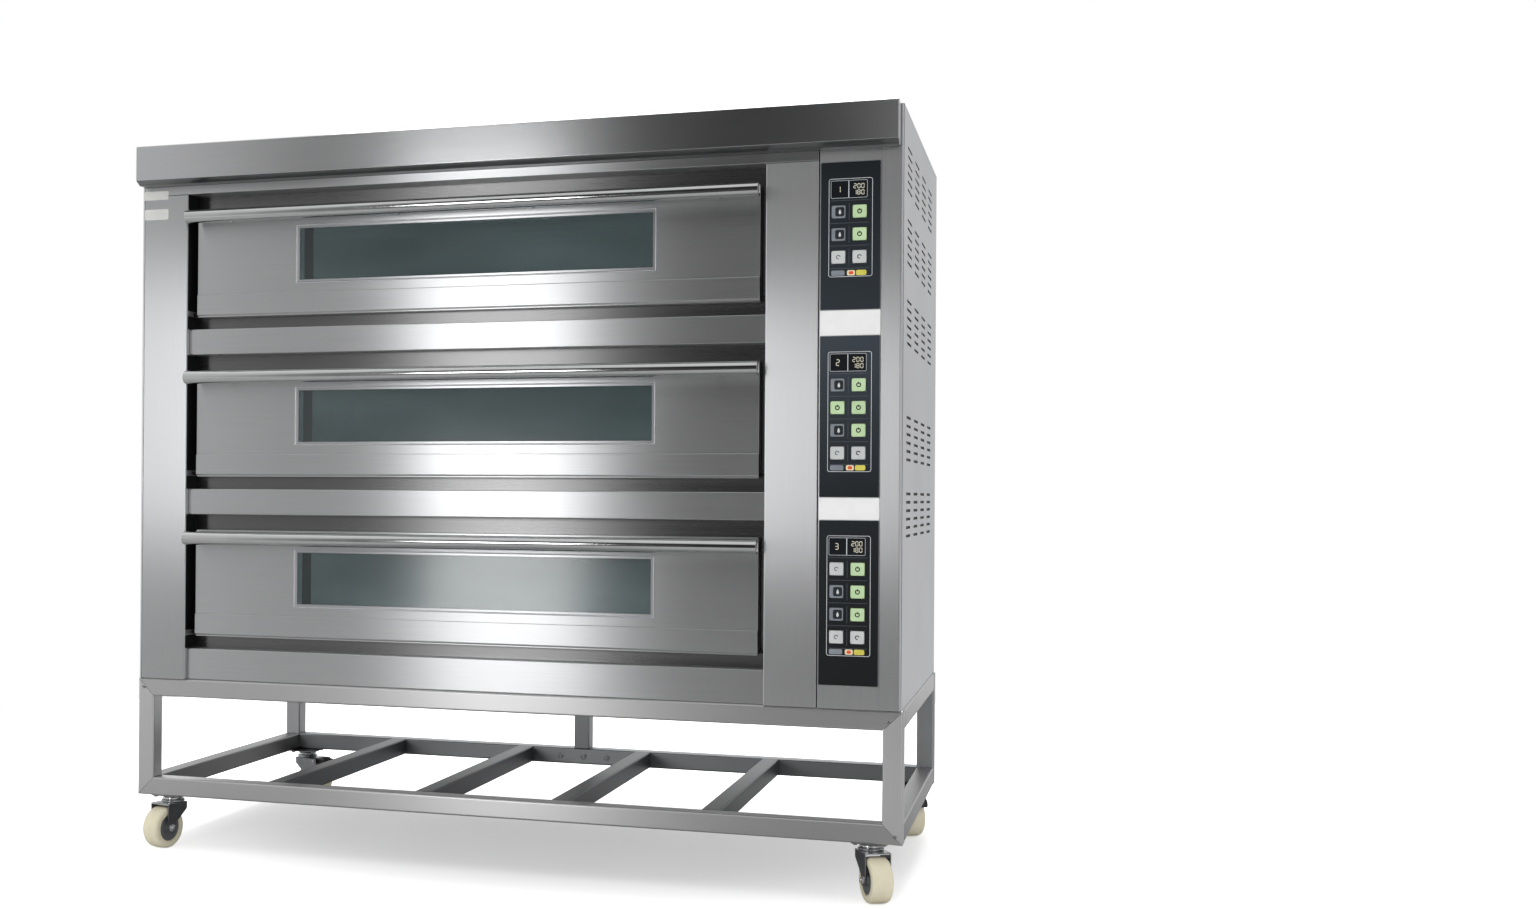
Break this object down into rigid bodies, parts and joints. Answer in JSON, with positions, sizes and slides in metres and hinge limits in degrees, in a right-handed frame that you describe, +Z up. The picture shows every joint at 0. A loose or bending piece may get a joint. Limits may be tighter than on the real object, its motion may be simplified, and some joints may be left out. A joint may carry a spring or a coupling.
{
  "type": "deck oven",
  "caption": "Stainless electric deck oven: stacked baking chambers with bottom-hinged windowed doors, push-key control column, and a square-tube stand on swivel castors.",
  "frame": {"origin": "on the floor at the middle of the footprint", "axes": "+X to the right along the doors' width, seen from the front; the front faces -Y; +Z up"},
  "size_m": [1.78, 0.898, 1.65],
  "materials": {
    "steel_satin": "satin brushed stainless steel sheet",
    "steel_frame": "satin stainless square tube",
    "steel_polished": "polished stainless tube",
    "steel_dark": "heat-toned steel plate",
    "element": "dark oxidised sheathed rod",
    "zinc": "bright zinc plate",
    "overlay": "blue-black printed overlay",
    "pane": "tinted heat-proof glass",
    "nylon": "cream nylon tread on a grey hub",
    "black_plastic": "black moulded plastic",
    "key_green": "pale green key",
    "key_pale": "light grey key",
    "key_grey": "dark grey key"
  },
  "bodies": {
    "oven": {"stand_frame": "steel_frame", "left_panel": "steel_satin", "right_panel": "steel_satin", "rear_base_panel": "steel_satin", "hood": "steel_satin", "front_frame": "steel_satin", "control_column": "steel_satin", "control_overlay_1": "overlay", "chamber_liner_1": "steel_dark", "hearth_plate_1": "steel_dark", "heating_elements_1": "element", "control_overlay_2": "overlay", "chamber_liner_2": "steel_dark", "hearth_plate_2": "steel_dark", "heating_elements_2": "element", "control_overlay_3": "overlay", "chamber_liner_3": "steel_dark", "hearth_plate_3": "steel_dark", "heating_elements_3": "element"},
    "door_1": {"door_shell_1": "steel_satin", "door_glass_1": "pane", "door_handle_1": "steel_polished"},
    "door_2": {"door_shell_2": "steel_satin", "door_glass_2": "pane", "door_handle_2": "steel_polished"},
    "door_3": {"door_shell_3": "steel_satin", "door_glass_3": "pane", "door_handle_3": "steel_polished"},
    "castor_front_left": {"castor_fork_front_left": "zinc"},
    "castor_front_right": {"castor_fork_front_right": "zinc"},
    "castor_rear_left": {"castor_fork_rear_left": "zinc"},
    "castor_rear_right": {"castor_fork_rear_right": "zinc"},
    "brake_rear_left": {"brake_pedal_rear_left": "black_plastic"},
    "brake_rear_right": {"brake_pedal_rear_right": "black_plastic"},
    "wheel_front_left": {"castor_wheel_front_left": "nylon"},
    "wheel_front_right": {"castor_wheel_front_right": "nylon"},
    "wheel_rear_left": {"castor_wheel_rear_left": "nylon"},
    "wheel_rear_right": {"castor_wheel_rear_right": "nylon"},
    "key_1_left_1_body": {"key_1_left_1": "key_grey"},
    "key_1_right_1_body": {"key_1_right_1": "key_green"},
    "key_1_left_2_body": {"key_1_left_2": "key_grey"},
    "key_1_right_2_body": {"key_1_right_2": "key_green"},
    "key_1_left_3_body": {"key_1_left_3": "key_pale"},
    "key_1_right_3_body": {"key_1_right_3": "key_pale"},
    "key_2_left_1_body": {"key_2_left_1": "key_grey"},
    "key_2_right_1_body": {"key_2_right_1": "key_green"},
    "key_2_left_2_body": {"key_2_left_2": "key_green"},
    "key_2_right_2_body": {"key_2_right_2": "key_green"},
    "key_2_left_3_body": {"key_2_left_3": "key_grey"},
    "key_2_right_3_body": {"key_2_right_3": "key_green"},
    "key_2_left_4_body": {"key_2_left_4": "key_pale"},
    "key_2_right_4_body": {"key_2_right_4": "key_pale"},
    "key_3_left_1_body": {"key_3_left_1": "key_pale"},
    "key_3_right_1_body": {"key_3_right_1": "key_green"},
    "key_3_left_2_body": {"key_3_left_2": "key_grey"},
    "key_3_right_2_body": {"key_3_right_2": "key_green"},
    "key_3_left_3_body": {"key_3_left_3": "key_grey"},
    "key_3_right_3_body": {"key_3_right_3": "key_green"},
    "key_3_left_4_body": {"key_3_left_4": "key_pale"},
    "key_3_right_4_body": {"key_3_right_4": "key_pale"}
  },
  "joints": [
    {"name": "door_hinge_1", "type": "hinge", "parent": "oven", "child": "door_1", "pos_m": [-0.08235, -0.372, 1.26], "axis": [1, 0, 0], "range_deg": [0, 90]},
    {"name": "door_hinge_2", "type": "hinge", "parent": "oven", "child": "door_2", "pos_m": [-0.08235, -0.372, 0.885], "axis": [1, 0, 0], "range_deg": [0, 90]},
    {"name": "door_hinge_3", "type": "hinge", "parent": "oven", "child": "door_3", "pos_m": [-0.08235, -0.372, 0.51], "axis": [1, 0, 0], "range_deg": [0, 90]},
    {"name": "castor_swivel_front_left", "type": "hinge", "parent": "oven", "child": "castor_front_left", "pos_m": [-0.821, -0.356, 0.115], "axis": [0, 0, 1], "continuous": true},
    {"name": "castor_swivel_front_right", "type": "hinge", "parent": "oven", "child": "castor_front_right", "pos_m": [0.821, -0.356, 0.115], "axis": [0, 0, 1], "continuous": true},
    {"name": "castor_swivel_rear_left", "type": "hinge", "parent": "oven", "child": "castor_rear_left", "pos_m": [-0.821, 0.384, 0.115], "axis": [0, 0, 1], "continuous": true},
    {"name": "castor_swivel_rear_right", "type": "hinge", "parent": "oven", "child": "castor_rear_right", "pos_m": [0.821, 0.384, 0.115], "axis": [0, 0, 1], "continuous": true},
    {"name": "brake_rear_left_press", "type": "hinge", "parent": "castor_rear_left", "child": "brake_rear_left", "pos_m": [-0.77214, 0.36622, 0.0985], "axis": [0.342, 0.9397, 0], "range_deg": [0, 15]},
    {"name": "brake_rear_right_press", "type": "hinge", "parent": "castor_rear_right", "child": "brake_rear_right", "pos_m": [0.84541, 0.33809, 0.0985], "axis": [0.8829, 0.4695, 0], "range_deg": [0, 15]},
    {"name": "wheel_spin_front_left", "type": "hinge", "parent": "castor_front_left", "child": "wheel_front_left", "pos_m": [-0.82898, -0.38802, 0.048], "axis": [0.9703, -0.2419, 0], "continuous": true},
    {"name": "wheel_spin_front_right", "type": "hinge", "parent": "castor_front_right", "child": "wheel_front_right", "pos_m": [0.83547, -0.38566, 0.048], "axis": [0.8988, 0.4384, 0], "continuous": true},
    {"name": "wheel_spin_rear_left", "type": "hinge", "parent": "castor_rear_left", "child": "wheel_rear_left", "pos_m": [-0.78999, 0.37271, 0.048], "axis": [0.342, 0.9397, 0], "continuous": true},
    {"name": "wheel_spin_rear_right", "type": "hinge", "parent": "castor_rear_right", "child": "wheel_rear_right", "pos_m": [0.83649, 0.35486, 0.048], "axis": [0.8829, 0.4695, 0], "continuous": true},
    {"name": "key_1_left_1_press", "type": "slide", "parent": "oven", "child": "key_1_left_1_body", "axis": [0, 1, 0], "range_m": [0, 0.0015], "stiffness_N_per_m": 400, "springref_m": -0.001},
    {"name": "key_1_right_1_press", "type": "slide", "parent": "oven", "child": "key_1_right_1_body", "axis": [0, 1, 0], "range_m": [0, 0.0015], "stiffness_N_per_m": 400, "springref_m": -0.001},
    {"name": "key_1_left_2_press", "type": "slide", "parent": "oven", "child": "key_1_left_2_body", "axis": [0, 1, 0], "range_m": [0, 0.0015], "stiffness_N_per_m": 400, "springref_m": -0.001},
    {"name": "key_1_right_2_press", "type": "slide", "parent": "oven", "child": "key_1_right_2_body", "axis": [0, 1, 0], "range_m": [0, 0.0015], "stiffness_N_per_m": 400, "springref_m": -0.001},
    {"name": "key_1_left_3_press", "type": "slide", "parent": "oven", "child": "key_1_left_3_body", "axis": [0, 1, 0], "range_m": [0, 0.0015], "stiffness_N_per_m": 400, "springref_m": -0.001},
    {"name": "key_1_right_3_press", "type": "slide", "parent": "oven", "child": "key_1_right_3_body", "axis": [0, 1, 0], "range_m": [0, 0.0015], "stiffness_N_per_m": 400, "springref_m": -0.001},
    {"name": "key_2_left_1_press", "type": "slide", "parent": "oven", "child": "key_2_left_1_body", "axis": [0, 1, 0], "range_m": [0, 0.0015], "stiffness_N_per_m": 400, "springref_m": -0.001},
    {"name": "key_2_right_1_press", "type": "slide", "parent": "oven", "child": "key_2_right_1_body", "axis": [0, 1, 0], "range_m": [0, 0.0015], "stiffness_N_per_m": 400, "springref_m": -0.001},
    {"name": "key_2_left_2_press", "type": "slide", "parent": "oven", "child": "key_2_left_2_body", "axis": [0, 1, 0], "range_m": [0, 0.0015], "stiffness_N_per_m": 400, "springref_m": -0.001},
    {"name": "key_2_right_2_press", "type": "slide", "parent": "oven", "child": "key_2_right_2_body", "axis": [0, 1, 0], "range_m": [0, 0.0015], "stiffness_N_per_m": 400, "springref_m": -0.001},
    {"name": "key_2_left_3_press", "type": "slide", "parent": "oven", "child": "key_2_left_3_body", "axis": [0, 1, 0], "range_m": [0, 0.0015], "stiffness_N_per_m": 400, "springref_m": -0.001},
    {"name": "key_2_right_3_press", "type": "slide", "parent": "oven", "child": "key_2_right_3_body", "axis": [0, 1, 0], "range_m": [0, 0.0015], "stiffness_N_per_m": 400, "springref_m": -0.001},
    {"name": "key_2_left_4_press", "type": "slide", "parent": "oven", "child": "key_2_left_4_body", "axis": [0, 1, 0], "range_m": [0, 0.0015], "stiffness_N_per_m": 400, "springref_m": -0.001},
    {"name": "key_2_right_4_press", "type": "slide", "parent": "oven", "child": "key_2_right_4_body", "axis": [0, 1, 0], "range_m": [0, 0.0015], "stiffness_N_per_m": 400, "springref_m": -0.001},
    {"name": "key_3_left_1_press", "type": "slide", "parent": "oven", "child": "key_3_left_1_body", "axis": [0, 1, 0], "range_m": [0, 0.0015], "stiffness_N_per_m": 400, "springref_m": -0.001},
    {"name": "key_3_right_1_press", "type": "slide", "parent": "oven", "child": "key_3_right_1_body", "axis": [0, 1, 0], "range_m": [0, 0.0015], "stiffness_N_per_m": 400, "springref_m": -0.001},
    {"name": "key_3_left_2_press", "type": "slide", "parent": "oven", "child": "key_3_left_2_body", "axis": [0, 1, 0], "range_m": [0, 0.0015], "stiffness_N_per_m": 400, "springref_m": -0.001},
    {"name": "key_3_right_2_press", "type": "slide", "parent": "oven", "child": "key_3_right_2_body", "axis": [0, 1, 0], "range_m": [0, 0.0015], "stiffness_N_per_m": 400, "springref_m": -0.001},
    {"name": "key_3_left_3_press", "type": "slide", "parent": "oven", "child": "key_3_left_3_body", "axis": [0, 1, 0], "range_m": [0, 0.0015], "stiffness_N_per_m": 400, "springref_m": -0.001},
    {"name": "key_3_right_3_press", "type": "slide", "parent": "oven", "child": "key_3_right_3_body", "axis": [0, 1, 0], "range_m": [0, 0.0015], "stiffness_N_per_m": 400, "springref_m": -0.001},
    {"name": "key_3_left_4_press", "type": "slide", "parent": "oven", "child": "key_3_left_4_body", "axis": [0, 1, 0], "range_m": [0, 0.0015], "stiffness_N_per_m": 400, "springref_m": -0.001},
    {"name": "key_3_right_4_press", "type": "slide", "parent": "oven", "child": "key_3_right_4_body", "axis": [0, 1, 0], "range_m": [0, 0.0015], "stiffness_N_per_m": 400, "springref_m": -0.001}
  ]
}
